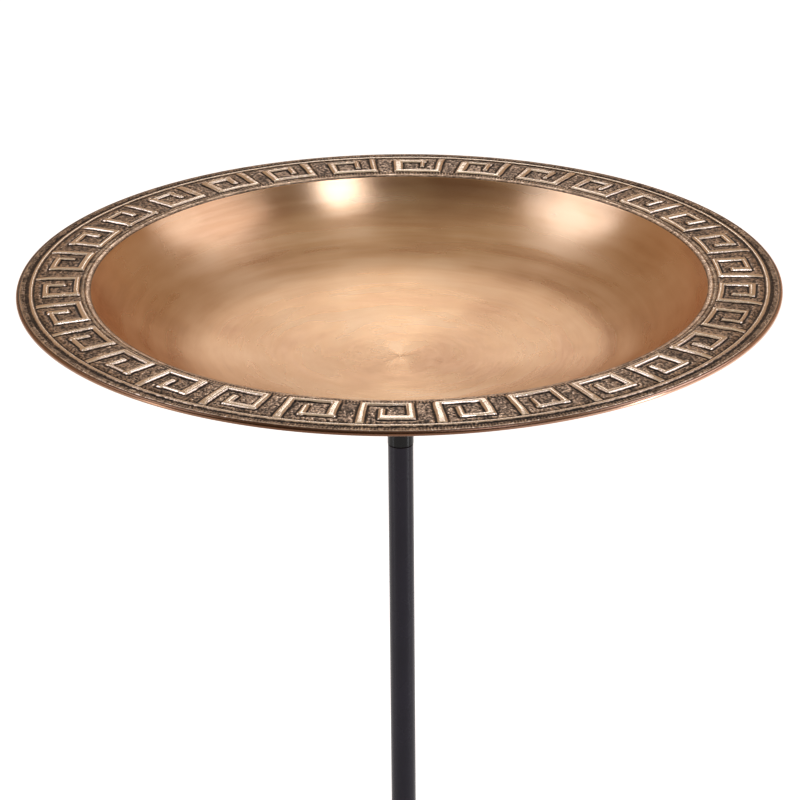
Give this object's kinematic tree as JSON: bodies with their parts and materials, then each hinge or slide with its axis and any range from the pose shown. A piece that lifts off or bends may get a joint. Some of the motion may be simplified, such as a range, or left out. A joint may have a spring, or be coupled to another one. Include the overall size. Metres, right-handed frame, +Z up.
{
  "type": "garden bird bath",
  "caption": "Wide shallow copper basin with a decorated flat rim, on a wire cradle and a slim black pole that ends in a pronged ground stake.",
  "frame": {"origin": "on the pole's axis at the soil line, where the straight legs of the prongs begin", "axes": "+Z up along the pole, +X along the cradle towards its right arm, -Y towards the viewer"},
  "size_m": [0.5588, 0.5588, 0.94],
  "materials": {
    "copper": "satin brushed copper, antiqued dark in the rim's low places",
    "black_coat": "satin black powder coat",
    "black_gloss": "gloss black paint",
    "steel_tube": "bare steel",
    "steel_wire": "bare drawn wire"
  },
  "bodies": {
    "stake": {"hub_sleeve": "black_coat", "sleeve_weld": "black_coat", "hub_welds": "black_coat", "ground_spike": "black_coat", "spike_coupler": "steel_tube", "prong_1": "black_coat", "prong_2": "black_coat", "prong_3": "black_coat"},
    "pole": {"pole": "black_coat"},
    "cradle": {"cradle_rod": "black_coat", "cradle_stem": "black_gloss", "cradle_spigot": "steel_tube", "cradle_weld": "black_coat"},
    "bowl": {"bowl": "copper", "rim_wire": "steel_wire", "rim_socket_left": "copper", "rim_socket_right": "copper"}
  },
  "joints": [
    {"name": "pole_lift", "type": "slide", "parent": "stake", "child": "pole", "axis": [0, 0, 1], "range_m": [0, 0.06]},
    {"name": "cradle_swivel", "type": "hinge", "parent": "pole", "child": "cradle", "pos_m": [0, 0, 0.666], "axis": [0, 0, 1], "continuous": true},
    {"name": "bowl_lift", "type": "slide", "parent": "cradle", "child": "bowl", "axis": [0, 0, 1], "range_m": [0, 0.12]}
  ]
}
